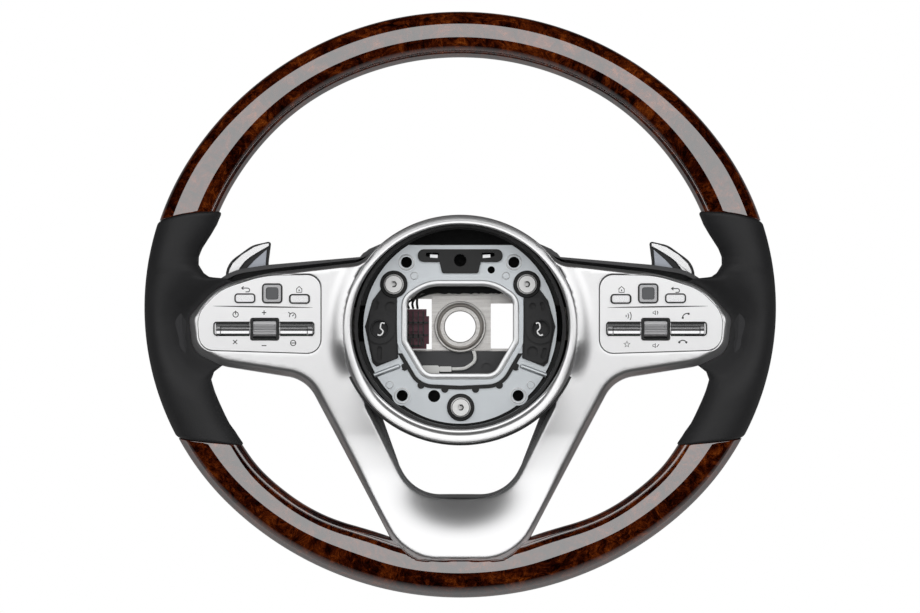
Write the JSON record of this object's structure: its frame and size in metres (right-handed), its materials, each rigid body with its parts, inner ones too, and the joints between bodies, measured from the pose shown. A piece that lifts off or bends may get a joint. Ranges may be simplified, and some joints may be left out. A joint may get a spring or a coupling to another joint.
{
  "type": "car steering wheel",
  "caption": "Round car steering wheel with wood and leather rim, three-spoke metal trim, keys, shift paddles and an open hub with a sprung horn plate.",
  "frame": {"origin": "middle of the column bore, on its axis", "axes": "+Y along the column, away from the driver; +Z to the top of the rim; +X to the driver's right"},
  "size_m": [0.3794, 0.0763, 0.3521],
  "materials": {
    "cast_alloy": "as cast",
    "foam": "moulded foam",
    "burl_wood": "high gloss lacquer",
    "grip_leather": "smooth",
    "satin_trim": "satin metallised",
    "cover_plastic": "fine grain",
    "black_plastic": "smooth",
    "bright_frame": "polished",
    "key_metal": "satin metallised",
    "touch_glass": "gloss",
    "board": "lacquered",
    "paddle_metal": "satin",
    "steel_pin": "plain",
    "plated_sheet": "zinc plated",
    "pad_plastic": "fine grain",
    "black_rubber": "smooth",
    "spring_steel": "bright",
    "screw_zinc": "zinc plated",
    "connector_red": "smooth",
    "black_lead": "smooth",
    "white_lead": "smooth",
    "panel_plastic": "fine grain"
  },
  "bodies": {
    "wheel": {"armature": "cast_alloy", "foam_core": "foam", "wood_rim_upper": "burl_wood", "wood_rim_lower": "burl_wood", "leather_grip_left": "grip_leather", "leather_grip_right": "grip_leather", "spoke_trim": "satin_trim", "rear_cover": "cover_plastic", "well_liner": "black_plastic", "button_panel_left": "satin_trim", "button_panel_right": "satin_trim", "touch_frame_left": "bright_frame", "touch_frame_right": "bright_frame", "roller_frame_left": "black_plastic", "roller_frame_right": "black_plastic", "circuit_board_left": "board", "circuit_board_right": "board", "paddle_pin_left": "steel_pin", "paddle_pin_right": "steel_pin", "plate_screws": "screw_zinc", "harness_connector": "connector_red", "harness_leads": "black_lead", "earth_wire": "white_lead", "earth_terminal": "white_lead", "lower_panel": "panel_plastic", "cover_screws": "steel_pin"},
    "back_button_left_body": {"back_button_left": "key_metal"},
    "back_button_right_body": {"back_button_right": "key_metal"},
    "home_button_left_body": {"home_button_left": "key_metal"},
    "home_button_right_body": {"home_button_right": "key_metal"},
    "touchpad_left_body": {"touchpad_left": "touch_glass"},
    "touchpad_right_body": {"touchpad_right": "touch_glass"},
    "outer_rocker_left_body": {"outer_rocker_left": "key_metal"},
    "outer_rocker_right_body": {"outer_rocker_right": "key_metal"},
    "inner_rocker_left_body": {"inner_rocker_left": "key_metal"},
    "inner_rocker_right_body": {"inner_rocker_right": "key_metal"},
    "menu_roller_body": {"menu_roller": "key_metal"},
    "volume_roller_body": {"volume_roller": "key_metal"},
    "paddle_left_body": {"paddle_left": "paddle_metal"},
    "paddle_right_body": {"paddle_right": "paddle_metal"},
    "horn_plate_body": {"horn_plate": "plated_sheet", "top_pad": "black_plastic", "side_pad_left": "pad_plastic", "side_pad_right": "pad_plastic", "plate_gasket": "black_rubber", "plate_bushes": "black_rubber", "retaining_wire_left": "spring_steel", "retaining_wire_right": "spring_steel", "horn_springs": "spring_steel"}
  },
  "joints": [
    {"name": "back_button_left_press", "type": "slide", "parent": "wheel", "child": "back_button_left_body", "axis": [0, 1, 0], "range_m": [0, 0.001], "stiffness_N_per_m": 800, "springref_m": -0.0005},
    {"name": "home_button_left_press", "type": "slide", "parent": "wheel", "child": "home_button_left_body", "axis": [0, 1, 0], "range_m": [0, 0.001], "stiffness_N_per_m": 800, "springref_m": -0.0005},
    {"name": "touchpad_left_press", "type": "slide", "parent": "wheel", "child": "touchpad_left_body", "axis": [0, 1, 0], "range_m": [0, 0.0005], "stiffness_N_per_m": 1500, "springref_m": -0.0005},
    {"name": "outer_rocker_left_tilt", "type": "hinge", "parent": "wheel", "child": "outer_rocker_left_body", "pos_m": [-0.1367, -0.0438, -0.00115], "axis": [1, 0, 0], "range_deg": [-5, 5], "stiffness_Nm_per_rad": 0.2},
    {"name": "inner_rocker_left_tilt", "type": "hinge", "parent": "wheel", "child": "inner_rocker_left_body", "pos_m": [-0.0985, -0.0438, -0.00115], "axis": [1, 0, 0], "range_deg": [-5, 5], "stiffness_Nm_per_rad": 0.2},
    {"name": "paddle_left_pull", "type": "hinge", "parent": "wheel", "child": "paddle_left_body", "pos_m": [-0.097, -0.008, 0], "axis": [0, 0, 1], "range_deg": [0, 5], "stiffness_Nm_per_rad": 2, "springref_deg": -1.72},
    {"name": "back_button_right_press", "type": "slide", "parent": "wheel", "child": "back_button_right_body", "axis": [0, 1, 0], "range_m": [0, 0.001], "stiffness_N_per_m": 800, "springref_m": -0.0005},
    {"name": "home_button_right_press", "type": "slide", "parent": "wheel", "child": "home_button_right_body", "axis": [0, 1, 0], "range_m": [0, 0.001], "stiffness_N_per_m": 800, "springref_m": -0.0005},
    {"name": "touchpad_right_press", "type": "slide", "parent": "wheel", "child": "touchpad_right_body", "axis": [0, 1, 0], "range_m": [0, 0.0005], "stiffness_N_per_m": 1500, "springref_m": -0.0005},
    {"name": "outer_rocker_right_tilt", "type": "hinge", "parent": "wheel", "child": "outer_rocker_right_body", "pos_m": [0.1367, -0.0438, -0.00115], "axis": [1, 0, 0], "range_deg": [-5, 5], "stiffness_Nm_per_rad": 0.2},
    {"name": "inner_rocker_right_tilt", "type": "hinge", "parent": "wheel", "child": "inner_rocker_right_body", "pos_m": [0.0985, -0.0438, -0.00115], "axis": [1, 0, 0], "range_deg": [-5, 5], "stiffness_Nm_per_rad": 0.2},
    {"name": "paddle_right_pull", "type": "hinge", "parent": "wheel", "child": "paddle_right_body", "pos_m": [0.097, -0.008, 0], "axis": [0, 0, -1], "range_deg": [0, 5], "stiffness_Nm_per_rad": 2, "springref_deg": -1.72},
    {"name": "menu_roller_rock", "type": "hinge", "parent": "wheel", "child": "menu_roller_body", "pos_m": [-0.1175, -0.0446, -0.0013], "axis": [1, 0, 0], "range_deg": [-12, 12], "stiffness_Nm_per_rad": 0.05},
    {"name": "volume_roller_spin", "type": "hinge", "parent": "wheel", "child": "volume_roller_body", "pos_m": [0.1175, -0.0446, -0.0013], "axis": [1, 0, 0], "continuous": true},
    {"name": "horn_press", "type": "slide", "parent": "wheel", "child": "horn_plate_body", "axis": [0, 1, 0], "range_m": [0, 0.0015], "stiffness_N_per_m": 6000, "springref_m": -0.003}
  ]
}
